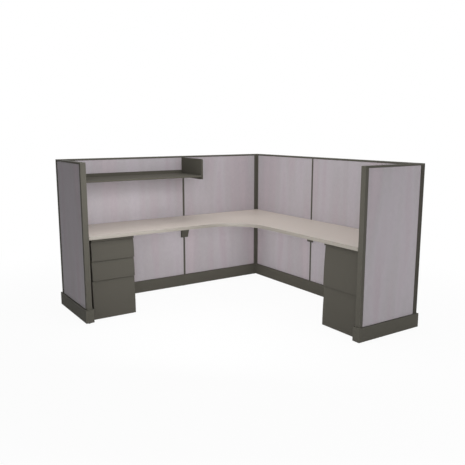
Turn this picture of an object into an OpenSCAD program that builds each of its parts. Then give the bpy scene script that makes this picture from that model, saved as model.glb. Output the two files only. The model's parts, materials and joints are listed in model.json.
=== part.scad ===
// Cubicle workstation: two long panel walls that meet at a corner, a short wing panel at each open end,
// an L-shaped work surface with a hollowed inner corner, a hanging shelf and two drawer pedestals.
// Millimetres, +Z up. The origin is on the floor, at the middle of the whole footprint.
// The back wall runs along X at +Y, the side wall along Y at +X.

/* [Panels] */
// Width of the wide panel in each wall
wide_w = 1219; // [1067:1:1372]
// Width of the narrow panel in each wall, beside the corner
narrow_w = 914; // [838:1:1067]
// Width of the wing panel at each open end, which is also how deep the work surface reaches
wing_w = 610; // [560:1:762]
// Height of the panels over the floor, cap included
panel_h = 1346; // [1300:1:1650]
// Thickness of a panel over both fabric faces
panel_t = 46; // [42:1:60]
// Thickness of a fabric-covered board
board_t = 10; // [8:1:12]
// Height of the cap along the top
cap_h = 15; // [10:1:24]
// Height of the base raceway over the floor
base_h = 124; // [100:1:150]
// How far the base stands out past the fabric
base_out = 12; // [8:1:18]
// Width of the slotted upright that shows where two panels meet in line
joint_w = 20; // [18:1:26]
// Width of the slotted upright on each side of an inside corner
corner_w = 30; // [26:1:40]
// Length of the end trim's legs along a wing panel
trim_leg = 32; // [26:1:44]

/* [Work surface] */
// Height of the work surface over the floor
top_z = 740; // [720:1:760]
// Thickness of the work surface
top_t = 30; // [25:1:36]
// Radius of the hollow at the inner corner
arc_r = 390; // [250:1:480]
// Length of each side of the corner unit
corner_len = 1219; // [1150:1:1250]
// Thickness of the edge band
edge_t = 3; // [1:0.5:5]

/* [Shelf] */
// How far the shelf's flat top lies below the top of the panels
shelf_drop = 168; // [146:1:246]
// Depth of the shelf from the fabric
shelf_d = 398; // [300:1:420]
// Height of the shelf's end panels
shelf_end_h = 192; // [150:1:200]
// Thickness of the shelf's end panels
shelf_end_t = 16; // [12:1:18]
// Height of the upturned flange along the shelf's back
shelf_back_h = 32; // [15:1:50]
// Height of the shelf's front lip
shelf_lip_h = 16; // [10:1:25]

/* [Pedestals] */
// Width of a pedestal
ped_w = 381; // [360:1:420]
// How much less deep a pedestal is than the work surface, drawer fronts included
ped_setback = 60; // [40:1:90]
// Height taken by one box drawer, gap included
pitch = 168; // [160:0.5:168]
// Gap above each drawer front, seen from in front
pull_gap = 5; // [4:0.5:7]
// How far the drawer fronts stand out at their lower edge
front_d = 30; // [26:0.5:36]
// How far the top of a drawer front leans back
front_bow = 14; // [6:0.5:15]
// How far a drawer opens
travel = 440; // [300:1:440]

/* [Hidden] */
$fn = 64;

// Colours
paint = "#5a574f";
paint_dark = "#45433c";
fabric = "#a19da1";
fibre = "#d8c98f";
laminate = "#b9b0a7";
band = "#c6bdb3";
zinc = "#b8bcc0";
nylon = "#2a2a2a";

// Clearances and overrun
over = 1;           // how far a cut runs past the face it opens
fit = 0.3;          // gap between pieces that are fitted together
thread_fit = 0.15;  // radial gap round a glide's stem or a screw
seam = 0.5;         // between two pieces that meet end to end

// Panel parts
half = (wide_w + narrow_w) / 2;   // from the middle of the room to the fabric of a wall
frame_t = panel_t - 2 * board_t;
frame_wall = 1.5;
stile_w = 22;
rail_h = 20;
cap_wall = 2;
cap_round = 3;
trim_wall = 4;
sheet = 1.5;
base_gap = 10;      // under the base covers
base_round = 4;
base_return = 9;    // bottom fold of a base cover
strip_recess = 1;   // how far the uprights lie behind the fabric
strip_t = board_t - strip_recess;
leg_z = 18;         // underside of the frames and posts
post_wall = 2;
post_plug = 30;
clip_h = 20;
clip_z = 50;        // clips that hold the base covers
ring_z = base_h - rail_h;
frame_top = panel_h - cap_wall;
cap_z = panel_h - cap_h;
out_y = panel_t / 2 + base_out;   // outer face of a base cover, from the panel's middle

// Slots in the uprights
slot_w = 3.2;
slot_h = 12;
slot_pitch = 25.4;
slot_depth = 7;
slot_side = 5;      // slot column to the middle of a joint
slot_corner = 15;   // slot column to an inside corner
slot_margin = 24;   // first slot above the base, and last slot below the cap
slot_z = base_h + slot_margin;
slot_count = floor((cap_z - slot_margin - slot_z) / slot_pitch) + 1;
hook_t = 2;
hook_h = 10;
hook_in = 5;        // how far a hook enters its slot

// Glides
glide_r = 10;
glide_h = 8;
stem_r = 5;
stem_up = 40;       // stem inside a leg
ped_glide_r = 14;
ped_glide_h = 7;
ped_stem_r = 4;
ped_stem_up = 5;
ped_glide_in = 40;  // glide to the pedestal's side, front or back

// Work surface and what holds it
top_d = wing_w;
top_gap = 3;        // behind the work surface
under_z = top_z - top_t;
bracket_t = 2.5;
bracket_gap = 0.5;  // behind a bracket
arm_w = 76;
arm_lip = 18;
arm_short = 140;    // end of the arm behind the front edge of the work surface
arm_len = top_d - arm_short;
arm_drop = 192;     // bracket below the work surface, at the wall
arm_toe = 10;       // depth of its lowest point
arm_knee = 38;      // depth at the knee
arm_knee_drop = 110;
arm_root = 62;      // depth where the arm starts
arm_root_drop = 48;
arm_tip_drop = 20;
corner_leg = 250;
corner_flange = 30;
wing_angle = 28;
wing_angle_in = 60; // from the wall to the angle's rear end
wing_angle_out = 70;
wing_angle_len = top_d - wing_angle_in - wing_angle_out;
splice_w = 110;
splice_in = 100;
splice_out = 90;
splice_len = top_d - splice_in - splice_out;
screw_r = 2;
screw_head_r = 4.5;
screw_head_h = 2.5;
screw_in = 15;      // screw inside the work surface
screw_edge = 10;    // screw to a bracket's edge
screw_side = 30;    // screw to a seam
arm_screw_shares = [0.2, 0.55, 0.9];
splice_screw_shares = [0.1, 0.5, 0.9];
wing_screw_shares = [0.15, 0.5, 0.85];
plate_screw_shares = [[0.25, 0.25], [0.6, 0.2], [0.2, 0.6]];

// Shelf
shelf_z = panel_h - shelf_drop;
shelf_gap = 1.5;    // behind the shelf
shelf_side = 3;     // beside the shelf
shelf_round = 14;
shelf_skin = 1.5;
shelf_fold = 12;
shelf_over = 22;    // end panel below the shelf's flat top, lip included
shelf_end_z = shelf_z - shelf_lip_h - shelf_over;
shelf_x0 = -half + shelf_side;
shelf_x1 = -half + wide_w - shelf_side;

// Pedestals
ped_d = wing_w - ped_setback;
ped_gap = 32;       // pedestal to wing panel
ped_wall_gap = 16;
case_sheet = 1.6;
case_z = base_gap;
case_front = 2;     // case's front edge behind the drawer fronts
case_back = ped_d - front_d;
front_z = case_z + case_front;
front_sheet = 1.2;
front_fold = 22;    // flange round the back of a front, which the tray is riveted to
lip_t = 2;
skirt = 12;         // how far a front's face hangs below its folded bottom, before the fingers' way in
groove = 16;        // depth of the finger groove behind a front's lip
front_steps = 14;
tray_wall = 1.2;
tray_up = 8;        // tray's floor above its front's lower edge
tray_head = 35;     // free height above a tray
tray_rear = 35;     // free depth behind a tray
tray_len = case_back - tray_rear;
box_tray_h = pitch - pull_gap - tray_head - tray_up;
file_tray_h = 2 * pitch - pull_gap - 2 * tray_head - tray_up;
slide_w = 12.7;
slide_h = 45;
slide_wall = 1.2;
slide_gap = 0.4;
tray_fit = 0.2;     // between a tray and the slide member that is riveted to it
slide_short = 12;   // how much shorter a slide is than its tray
slide_len = tray_len - slide_short;
slide_front = case_front + 2;
slide_low = 42;     // slide's middle above a box tray's floor
file_slide_low = 110;
tray_w = ped_w - 2 * case_sheet - 2 * slide_w;
tray_x = case_sheet + slide_w;
box_h = pitch - pull_gap;
file_h = 2 * pitch - pull_gap;
low_z = front_z;
mid_z = front_z + 2 * pitch;
high_z = front_z + 3 * pitch;
visor_h = under_z - high_z - box_h - pull_gap;
// Rear ends of the three slide members line up when shut, so at full travel two members still overlap
slide_overlap = slide_len - travel / 2;

echo(slide_overlap = slide_overlap, slot_count = slot_count);

// Points of a round, from one angle to another
function arc(centre, radius, from, to, steps = 5) =
    [for (i = [0:steps]) centre + radius * [cos(from + (to - from) * i / steps),
                                            sin(from + (to - from) * i / steps)]];

// Height of the middle of the slot nearest below a height
function slot_at(z) = slot_z + floor((z - slot_z) / slot_pitch) * slot_pitch;

// Where each panel stands: along local X, with the room on its -Y side
module at_back_left() { translate([-half, half + panel_t / 2, 0]) children(); }
module at_back_right() { translate([wide_w - half, half + panel_t / 2, 0]) children(); }
module at_side_rear() { translate([half + panel_t / 2, half, 0]) rotate([0, 0, -90]) children(); }
module at_side_front() { translate([half + panel_t / 2, half - narrow_w, 0]) rotate([0, 0, -90]) children(); }
module at_left_wing() { translate([-half - panel_t / 2, half - wing_w, 0]) rotate([0, 0, 90]) children(); }
module at_right_wing() { translate([half, -half - panel_t / 2, 0]) rotate([0, 0, 180]) children(); }

// Where each corner post stands, with the room on its -X and -Y side
module at_back_left_corner() { translate([-half, half, 0]) rotate([0, 0, 90]) children(); }
module at_back_right_corner() { translate([half, half, 0]) children(); }
module at_front_right_corner() { translate([half, -half, 0]) rotate([0, 0, -90]) children(); }

// The work surface is laid out from the corner: local X along the back wall, local Y along the side wall
module at_corner() { translate([half, half, 0]) rotate([0, 0, 180]) children(); }

// Each pedestal: local X across, drawers open towards -Y
module at_left_pedestal() {
    translate([-half + ped_gap, half - ped_wall_gap - case_back, 0]) children();
}
module at_right_pedestal() {
    translate([half - ped_wall_gap - case_back, -half + ped_gap + ped_w, 0]) rotate([0, 0, -90]) children();
}

// What each kind of panel end takes off the frame, the room-side board, the room-side base clip and the
// outer board
function frame_inset(end) = end == "free" ? trim_wall : 0;
function inner_inset(end) = (end == "corner" ? corner_w : end == "joint" ? joint_w / 2 : trim_leg) + fit;
function clip_inset(end) = end == "corner" ? base_out : 0;
function outer_inset(end) = (end == "corner" ? 0 : end == "joint" ? joint_w / 2 : trim_leg) + fit;

// Folded steel frame: a channel all round that holds the core, on two legs with glide bores and clips
module panel_frame(w, start, end) {
    x0 = frame_inset(start);
    x1 = w - frame_inset(end);
    color(paint_dark) difference() {
        union() {
            translate([x0, -frame_t / 2, ring_z]) cube([x1 - x0, frame_t, frame_top - ring_z]);
            for (x = [x0, x1 - stile_w]) {
                translate([x, -frame_t / 2, leg_z]) cube([stile_w, frame_t, ring_z - leg_z]);
                translate([x, 0, clip_z]) cube([stile_w, out_y - sheet, clip_h]);
            }
            translate([x0 + clip_inset(start), sheet - out_y, clip_z])
                cube([stile_w - clip_inset(start), out_y - sheet, clip_h]);
            translate([x1 - stile_w, sheet - out_y, clip_z])
                cube([stile_w - clip_inset(end), out_y - sheet, clip_h]);
        }
        translate([x0 + stile_w, -frame_t / 2 - over, ring_z + rail_h])
            cube([x1 - x0 - 2 * stile_w, frame_t + 2 * over, frame_top - ring_z - 2 * rail_h]);
        translate([x0 + frame_wall, -frame_t / 2 + frame_wall, ring_z + frame_wall])
            cube([x1 - x0 - 2 * frame_wall, frame_t - 2 * frame_wall, frame_top - ring_z - 2 * frame_wall]);
        for (x = [x0 + stile_w / 2, x1 - stile_w / 2])
            translate([x, 0, leg_z - over]) cylinder(r = stem_r + thread_fit, h = stem_up + 2 * over);
    }
}

// Fibre core that fills the frame's channel
module panel_core(w, start, end) {
    x0 = frame_inset(start) + frame_wall + fit;
    x1 = w - frame_inset(end) - frame_wall - fit;
    z0 = ring_z + frame_wall + fit;
    color(fibre) translate([x0, -frame_t / 2 + frame_wall + fit, z0])
        cube([x1 - x0, frame_t - 2 * (frame_wall + fit), frame_top - frame_wall - fit - z0]);
}

// The two fabric-covered boards of a panel
module panel_boards(w, start, end) {
    color(fabric) {
        translate([inner_inset(start), -panel_t / 2, base_h + fit])
            cube([w - inner_inset(start) - inner_inset(end), board_t, cap_z - base_h - 2 * fit]);
        translate([outer_inset(start), frame_t / 2, base_h + fit])
            cube([w - outer_inset(start) - outer_inset(end), board_t, cap_z - base_h - 2 * fit]);
    }
}

// Section of the cap, across the panel
function cap_section() = concat(
    [[-panel_t / 2, cap_z]],
    arc([-panel_t / 2 + cap_round, panel_h - cap_round], cap_round, 180, 90),
    arc([panel_t / 2 - cap_round, panel_h - cap_round], cap_round, 90, 0),
    [[panel_t / 2, cap_z]]);

module along_x(length) { rotate([90, 0, 90]) linear_extrude(length) children(); }

module panel_cap(w, start, end) {
    x0 = start == "free" ? cap_wall : -over;
    x1 = end == "free" ? w - cap_wall : w + over;
    color(paint) difference() {
        translate([seam / 2, 0, 0]) along_x(w - seam) polygon(cap_section());
        translate([x0, -panel_t / 2 + cap_wall, cap_z - over])
            cube([x1 - x0, panel_t - 2 * cap_wall, cap_h - cap_wall + over]);
    }
}

// Section of a base cover on the +Y side: a face with a fold at its top and bottom
function base_section() = concat(
    [[panel_t / 2 - over, base_h]],
    arc([out_y - base_round, base_h - base_round], base_round, 90, 0),
    [[out_y, base_gap], [out_y - base_return, base_gap], [out_y - base_return, base_gap + sheet],
     [out_y - sheet, base_gap + sheet]],
    arc([out_y - base_round, base_h - base_round], base_round - sheet, 0, 90),
    [[panel_t / 2 - over, base_h - sheet]]);

// Base covers: the room side is cut back where another wall's cover meets it
module base_covers(w, inner_start, inner_end, outer_start, outer_end) {
    color(paint) {
        translate([outer_start + seam / 2, 0, 0])
            along_x(w - outer_start - outer_end - seam) polygon(base_section());
        translate([inner_start + seam / 2, 0, 0])
            along_x(w - inner_start - inner_end - seam) mirror([1, 0]) polygon(base_section());
    }
}

// Cover round the base at the open end of a wing: the panel ends at x = 0 and runs to +X
module base_end() {
    color(paint) difference() {
        translate([-base_out, -out_y, base_gap]) cube([base_out + trim_leg, 2 * out_y, base_h - base_gap]);
        translate([sheet - base_out, sheet - out_y, base_gap - over])
            cube([base_out + trim_leg, 2 * (out_y - sheet), base_h - base_gap + over - sheet]);
        translate([trim_wall - fit, -frame_t / 2 - fit, base_h - sheet - over])
            cube([trim_leg + over, frame_t + 2 * fit, sheet + 2 * over]);
    }
}

// Cover round the base at a corner post
module base_corner() {
    reach = panel_t + base_out;
    color(paint) difference() {
        translate([0, 0, base_gap]) cube([reach, reach, base_h - base_gap]);
        translate([-over, -over, base_gap - over])
            cube([reach - sheet + over, reach - sheet + over, base_h - base_gap + over - sheet]);
        translate([-over, -over, base_gap]) cube([panel_t + fit + over, panel_t + fit + over, base_h]);
    }
}

// Square tube post with a plug for its glide
module post() {
    color(paint) difference() {
        translate([0, 0, leg_z]) cube([panel_t, panel_t, cap_z - leg_z]);
        translate([post_wall, post_wall, leg_z + post_plug])
            cube([panel_t - 2 * post_wall, panel_t - 2 * post_wall, cap_z - leg_z]);
        translate([panel_t / 2, panel_t / 2, leg_z - over])
            cylinder(r = stem_r + thread_fit, h = post_plug + 2 * over);
    }
}

module post_cap() {
    color(paint) difference() {
        intersection() {
            translate([0, panel_t / 2, 0]) along_x(panel_t) polygon(cap_section());
            translate([panel_t / 2, panel_t, 0]) rotate([0, 0, -90]) along_x(panel_t) polygon(cap_section());
        }
        translate([post_wall, post_wall, cap_z - over])
            cube([panel_t - 2 * post_wall, panel_t - 2 * post_wall, cap_h - cap_wall + over]);
    }
}

// Upright strip on the room side of a panel, with its slot columns
module upright(x0, x1, columns) {
    difference() {
        translate([x0, -frame_t / 2 - strip_t, base_h + fit])
            cube([x1 - x0, strip_t, cap_z - base_h - 2 * fit]);
        for (x = columns, i = [0:slot_count - 1])
            translate([x - slot_w / 2, -frame_t / 2 - strip_t - over, slot_z + i * slot_pitch - slot_h / 2])
                cube([slot_w, slot_depth + over, slot_h]);
    }
}

module joint_upright() { upright(-joint_w / 2, joint_w / 2, [-slot_side, slot_side]); }

// Channel that closes the open end of a wing panel, which ends at x = 0
module end_trim() {
    color(paint) difference() {
        translate([0, -panel_t / 2, base_h + fit]) cube([trim_leg, panel_t, cap_z - base_h - 2 * fit]);
        translate([trim_wall, -frame_t / 2, base_h]) cube([trim_leg, frame_t, cap_z]);
    }
}

module glide(radius, height, stem, stem_height) {
    color(nylon) {
        cylinder(r = radius, h = height);
        translate([0, 0, height - over]) cylinder(r = stem, h = stem_height + over);
    }
}

module leg_glide() { glide(glide_r, glide_h, stem_r, leg_z - glide_h + stem_up - over); }

module panel_glide_pair(w, start, end) {
    for (x = [frame_inset(start) + stile_w / 2, w - frame_inset(end) - stile_w / 2])
        translate([x, 0, 0]) leg_glide();
}

// Corner unit of the work surface, with its front edge moved back by an inset
module corner_outline(inset) {
    centre = top_d + arc_r;
    reach = top_d - inset - top_gap;
    difference() {
        translate([top_gap, top_gap]) union() {
            square([corner_len - top_gap, reach]);
            square([reach, corner_len - top_gap]);
            square([centre - top_gap, centre - top_gap]);
        }
        translate([centre, centre]) circle(r = arc_r + inset, $fn = 128);
    }
}

// Straight unit beside the corner unit, along the back wall
module straight_outline(inset) {
    translate([corner_len + seam, top_gap])
        square([2 * half - top_gap - corner_len - seam, top_d - inset - top_gap]);
}

// Swaps the two walls
module swap() { mirror([1, -1, 0]) children(); }

// Screws up into the work surface, laid out from the corner
function arm_screws() = [for (d = arm_screw_shares, side = [-1, 1])
    [narrow_w + side * (arm_w / 2 - screw_edge), bracket_gap + d * arm_len]];
function swapped(places) = [for (p = places) [p[1], p[0]]];
function corner_plate_screws() = [for (d = plate_screw_shares) corner_leg * d];
function splice_screws(side) = [for (d = splice_screw_shares)
    [corner_len + side * screw_side, splice_in + d * splice_len]];
function wing_screws() = [for (d = wing_screw_shares)
    [2 * half - bracket_gap - wing_angle / 2, wing_angle_in + d * wing_angle_len]];

corner_screws = concat(arm_screws(), swapped(arm_screws()), corner_plate_screws(), splice_screws(-1),
    swapped(splice_screws(-1)));
left_screws = concat(splice_screws(1), wing_screws());
right_screws = swapped(left_screws);

module screw_bores(places) {
    for (p = places) translate([p[0], p[1], under_z - bracket_t - over])
        cylinder(r = screw_r + thread_fit, h = bracket_t + screw_in + 2 * over, $fn = 24);
}

module screws(places) {
    for (p = places) translate([p[0], p[1], under_z - bracket_t]) {
        cylinder(r = screw_r, h = bracket_t + screw_in, $fn = 24);
        translate([0, 0, -screw_head_h]) cylinder(r = screw_head_r, h = screw_head_h, $fn = 24);
    }
}

// Side view of a cantilever bracket, moved inwards by an inset: distance from the wall, then height
function arm_section(inset) = [
    [bracket_gap + inset, under_z - arm_drop + inset],
    [arm_toe - inset / 2, under_z - arm_drop + inset],
    [arm_knee - inset, under_z - arm_knee_drop + inset / 2],
    [arm_root - inset, under_z - arm_root_drop + inset],
    [arm_len - inset, under_z - arm_tip_drop + inset],
    [arm_len - inset, under_z - inset],
    [bracket_gap + inset, under_z - inset]];

// Folded bracket: hollow, with two lips under the work surface. It stands on the wall at x = 0, y = 0
module cantilever_bracket() {
    lip_z = slot_at(under_z - slot_pitch);
    low_hook_z = slot_at(under_z - arm_drop + slot_pitch);
    color(paint_dark) {
        difference() {
            translate([-arm_w / 2, 0, 0]) along_x(arm_w) polygon(arm_section(0));
            translate([bracket_t - arm_w / 2, 0, 0])
                along_x(arm_w - 2 * bracket_t) polygon(arm_section(bracket_t));
            translate([arm_lip - arm_w / 2, bracket_gap + bracket_t, under_z - arm_tip_drop + 2 * bracket_t])
                cube([arm_w - 2 * arm_lip, arm_len - bracket_gap - 2 * bracket_t, arm_tip_drop]);
        }
        for (x = [-slot_side, slot_side], z = [low_hook_z, lip_z])
            translate([x - hook_t / 2, -strip_recess - hook_in, z - hook_h / 2])
                cube([hook_t, strip_recess + hook_in + bracket_gap + bracket_t / 2, hook_h]);
    }
}

// Shelf end panel, hollow and open below, with hooks at its back: x from 0 to its thickness
module shelf_end(hook_x) {
    z1 = shelf_end_z + shelf_end_h;
    color(paint_dark) {
        difference() {
            along_x(shelf_end_t) polygon(concat(
                [[shelf_gap, shelf_end_z], [shelf_d, shelf_end_z]],
                arc([shelf_d - shelf_round, z1 - shelf_round], shelf_round, 0, 90),
                [[shelf_gap, z1]]));
            translate([shelf_skin, shelf_gap + shelf_skin, shelf_end_z - over])
                cube([shelf_end_t - 2 * shelf_skin, shelf_d - shelf_gap - 2 * shelf_skin,
                      shelf_end_h - shelf_round + over]);
        }
        for (z = [slot_at(z1 - slot_pitch), slot_at(shelf_end_z + 2 * slot_pitch)])
            translate([hook_x - hook_t / 2, -strip_recess - hook_in, z - hook_h / 2])
                cube([hook_t, strip_recess + hook_in + shelf_gap + shelf_skin / 2, hook_h]);
    }
}

// Shelf section: distance from the wall, then height
shelf_section = [
    [shelf_gap, shelf_z + shelf_back_h], [shelf_gap + shelf_skin, shelf_z + shelf_back_h],
    [shelf_gap + shelf_skin, shelf_z], [shelf_d - shelf_skin, shelf_z],
    [shelf_d - shelf_skin, shelf_z - shelf_lip_h], [shelf_d - shelf_skin - shelf_fold, shelf_z - shelf_lip_h],
    [shelf_d - shelf_skin - shelf_fold, shelf_z - shelf_lip_h + shelf_skin],
    [shelf_d - 2 * shelf_skin, shelf_z - shelf_lip_h + shelf_skin],
    [shelf_d - 2 * shelf_skin, shelf_z - shelf_skin], [shelf_gap, shelf_z - shelf_skin]];

// The back wall seen from the room: local X towards +X, local Y away from the wall
module on_back_wall() { translate([0, half, 0]) mirror([0, 1, 0]) children(); }

// Pedestal case: a folded shell, open in front, with a visor over the drawers
module pedestal_case() {
    color(paint) difference() {
        union() {
            translate([0, case_front, case_z]) cube([ped_w, case_back - case_front, under_z - case_z]);
            translate([0, -front_d, under_z - visor_h]) cube([ped_w, front_d + case_front, visor_h]);
        }
        translate([case_sheet, case_front - over, case_z + case_sheet])
            cube([ped_w - 2 * case_sheet, case_back - case_front - case_sheet + over,
                  under_z - case_z - 2 * case_sheet]);
        translate([case_sheet, case_sheet - front_d, under_z - visor_h - over])
            cube([ped_w - 2 * case_sheet, front_d + case_front, visor_h + over - case_sheet]);
        for (x = [ped_glide_in, ped_w - ped_glide_in], y = [ped_glide_in, case_back - ped_glide_in])
            translate([x, y, case_z - over]) cylinder(r = ped_stem_r + thread_fit, h = case_sheet + 2 * over);
    }
}

module pedestal_glides_set() {
    for (x = [ped_glide_in, ped_w - ped_glide_in], y = [ped_glide_in, case_back - ped_glide_in])
        translate([x, y, 0])
            glide(ped_glide_r, ped_glide_h, ped_stem_r, case_z - ped_glide_h + case_sheet + ped_stem_up);
}

// How far the face of a drawer front stands out at a height
function face(z, h) = front_d - front_bow * pow(z / h, 2);

// Drawer front: a folded shell with a bowed face and a finger groove behind the lip along its top. The
// fingers reach the lip behind the skirt of the front above, or behind the visor
module drawer_front(h, z) {
    floor_z = h - groove;
    low = skirt + front_sheet;
    color(paint) translate([0, 0, z]) difference() {
        along_x(ped_w) mirror([1, 0]) polygon(concat(
            [[0, skirt], [front_d - lip_t, skirt], [front_d - lip_t, 0]],
            [for (i = [0:front_steps]) [face(h * i / front_steps, h), h * i / front_steps]],
            [[front_d - front_bow - lip_t, h], [front_d - front_bow - lip_t, floor_z], [front_sheet, floor_z],
             [front_sheet, h], [0, h]]));
        translate([front_sheet, 0, 0]) along_x(ped_w - 2 * front_sheet) mirror([1, 0]) polygon(concat(
            [[front_sheet, low]],
            [for (i = [0:front_steps]) let (s = low + (floor_z - front_sheet - low) * i / front_steps)
                [face(s, h) - front_sheet, s]],
            [[front_sheet, floor_z - front_sheet]]));
        translate([front_fold, -front_sheet - over, skirt + front_fold])
            cube([ped_w - 2 * front_fold, front_sheet + 2 * over, floor_z - skirt - 2 * front_fold]);
    }
}

// Drawer tray, open above, with the inner member of each slide on its sides
module tray(h, z, slide_up) {
    color(zinc) translate([0, 0, z + tray_up]) {
        difference() {
            translate([tray_x, 0, 0]) cube([tray_w, tray_len, h]);
            translate([tray_x + tray_wall, tray_wall, tray_wall])
                cube([tray_w - 2 * tray_wall, tray_len - 2 * tray_wall, h]);
        }
        both_sides(slide_up) drawer_member();
    }
}

// Puts a slide member on both inner sides of the case: local X from the case's side towards the tray
module both_sides(up) {
    translate([case_sheet, slide_front, up]) children();
    translate([ped_w - case_sheet, slide_front, up]) mirror([1, 0, 0]) children();
}

// A channel along Y that opens towards +X, or towards -X when its web is at the far side
module channel(x0, x1, height, open_left) {
    translate([x0, 0, -height / 2]) difference() {
        cube([x1 - x0, slide_len, height]);
        translate([open_left ? -over : slide_wall, -over, slide_wall])
            cube([x1 - x0 - slide_wall + over, slide_len + 2 * over, height - 2 * slide_wall]);
    }
}

mid_h = slide_h - 2 * (slide_wall + slide_gap);
inner_h = mid_h - 2 * (slide_wall + slide_gap);
mid_x = slide_wall + slide_gap;
module case_member() { channel(0, slide_w - 4 * slide_wall, slide_h, false); }
module middle_member() { channel(mid_x, slide_w - 2 * slide_wall - slide_gap, mid_h, false); }
module drawer_member() { channel(mid_x + slide_wall + slide_gap, slide_w - tray_fit, inner_h, true); }

module slides(z, up) { color(zinc) both_sides(z + tray_up + up) middle_member(); }

// Panels
module back_left_frame() { at_back_left() panel_frame(wide_w, "corner", "joint"); }
module back_right_frame() { at_back_right() panel_frame(narrow_w, "joint", "corner"); }
module side_rear_frame() { at_side_rear() panel_frame(narrow_w, "corner", "joint"); }
module side_front_frame() { at_side_front() panel_frame(wide_w, "joint", "corner"); }
module left_wing_frame() { at_left_wing() panel_frame(wing_w, "free", "corner"); }
module right_wing_frame() { at_right_wing() panel_frame(wing_w, "corner", "free"); }

module back_left_boards() { at_back_left() panel_boards(wide_w, "corner", "joint"); }
module back_right_boards() { at_back_right() panel_boards(narrow_w, "joint", "corner"); }
module side_rear_boards() { at_side_rear() panel_boards(narrow_w, "corner", "joint"); }
module side_front_boards() { at_side_front() panel_boards(wide_w, "joint", "corner"); }
module left_wing_boards() { at_left_wing() panel_boards(wing_w, "free", "corner"); }
module right_wing_boards() { at_right_wing() panel_boards(wing_w, "corner", "free"); }

module back_cores() {
    at_back_left() panel_core(wide_w, "corner", "joint");
    at_back_right() panel_core(narrow_w, "joint", "corner");
}
module side_cores() {
    at_side_rear() panel_core(narrow_w, "corner", "joint");
    at_side_front() panel_core(wide_w, "joint", "corner");
}
module wing_cores() {
    at_left_wing() panel_core(wing_w, "free", "corner");
    at_right_wing() panel_core(wing_w, "corner", "free");
}

module back_top_caps() {
    at_back_left() panel_cap(wide_w, "corner", "joint");
    at_back_right() panel_cap(narrow_w, "joint", "corner");
}
module side_top_caps() {
    at_side_rear() panel_cap(narrow_w, "corner", "joint");
    at_side_front() panel_cap(wide_w, "joint", "corner");
}
module wing_top_caps() {
    at_left_wing() panel_cap(wing_w, "free", "corner");
    at_right_wing() panel_cap(wing_w, "corner", "free");
}

module back_base_covers() {
    at_back_left() base_covers(wide_w, 0, 0, 0, 0);
    at_back_right() base_covers(narrow_w, 0, 0, 0, 0);
}
module side_base_covers() {
    at_side_rear() base_covers(narrow_w, base_out, 0, 0, 0);
    at_side_front() base_covers(wide_w, 0, 0, 0, 0);
}
module wing_base_covers() {
    at_left_wing() base_covers(wing_w, trim_leg, base_out, trim_leg, 0);
    at_right_wing() base_covers(wing_w, base_out, trim_leg, 0, trim_leg);
}
module base_corners() {
    at_back_left_corner() base_corner();
    at_back_right_corner() base_corner();
    at_front_right_corner() base_corner();
    at_left_wing() base_end();
    at_right_wing() translate([wing_w, 0, 0]) rotate([0, 0, 180]) base_end();
}

module back_left_post() { at_back_left_corner() post(); }
module back_right_post() { at_back_right_corner() post(); }
module front_right_post() { at_front_right_corner() post(); }
module post_caps() {
    at_back_left_corner() post_cap();
    at_back_right_corner() post_cap();
    at_front_right_corner() post_cap();
}

module slotted_uprights() {
    color(paint) {
        at_back_right() for (turn = [0, 180]) rotate([0, 0, turn]) joint_upright();
        at_side_front() for (turn = [0, 180]) rotate([0, 0, turn]) joint_upright();
        at_back_left() upright(bracket_gap, corner_w, [slot_corner]);
        at_back_right() upright(narrow_w - corner_w, narrow_w - bracket_gap, [narrow_w - slot_corner]);
        at_side_rear() upright(bracket_gap, corner_w, [slot_corner]);
        at_side_front() upright(wide_w - corner_w, wide_w - bracket_gap, [wide_w - slot_corner]);
        at_left_wing() upright(wing_w - corner_w, wing_w - bracket_gap, [wing_w - slot_corner]);
        at_right_wing() upright(bracket_gap, corner_w, [slot_corner]);
    }
}

module wing_end_trims() {
    at_left_wing() end_trim();
    at_right_wing() translate([wing_w, 0, 0]) rotate([0, 0, 180]) end_trim();
}

module panel_glides() {
    at_back_left() panel_glide_pair(wide_w, "corner", "joint");
    at_back_right() panel_glide_pair(narrow_w, "joint", "corner");
    at_side_rear() panel_glide_pair(narrow_w, "corner", "joint");
    at_side_front() panel_glide_pair(wide_w, "joint", "corner");
    at_left_wing() panel_glide_pair(wing_w, "free", "corner");
    at_right_wing() panel_glide_pair(wing_w, "corner", "free");
    post_middle = [panel_t / 2, panel_t / 2, 0];
    post_stem = leg_z - glide_h + post_plug - over;
    at_back_left_corner() translate(post_middle) glide(glide_r, glide_h, stem_r, post_stem);
    at_back_right_corner() translate(post_middle) glide(glide_r, glide_h, stem_r, post_stem);
    at_front_right_corner() translate(post_middle) glide(glide_r, glide_h, stem_r, post_stem);
}

// Work surface
module corner_work_surface() {
    color(laminate) at_corner() difference() {
        translate([0, 0, under_z]) linear_extrude(top_t) corner_outline(edge_t);
        screw_bores(corner_screws);
    }
}
module left_work_surface() {
    color(laminate) at_corner() difference() {
        translate([0, 0, under_z]) linear_extrude(top_t) straight_outline(edge_t);
        screw_bores(left_screws);
    }
}
module right_work_surface() {
    color(laminate) at_corner() difference() {
        translate([0, 0, under_z]) linear_extrude(top_t) swap() straight_outline(edge_t);
        screw_bores(right_screws);
    }
}
module edge_bands() {
    color(band) at_corner() translate([0, 0, under_z]) linear_extrude(top_t) {
        difference() {
            corner_outline(0);
            corner_outline(edge_t);
        }
        difference() {
            straight_outline(0);
            straight_outline(edge_t);
        }
        swap() difference() {
            straight_outline(0);
            straight_outline(edge_t);
        }
    }
}

module cantilever_brackets() {
    difference() {
        union() {
            translate([wide_w - half, half, 0]) rotate([0, 0, 180]) cantilever_bracket();
            translate([half, half - narrow_w, 0]) rotate([0, 0, 90]) cantilever_bracket();
        }
        at_corner() screw_bores(concat(arm_screws(), swapped(arm_screws())));
    }
}

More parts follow.
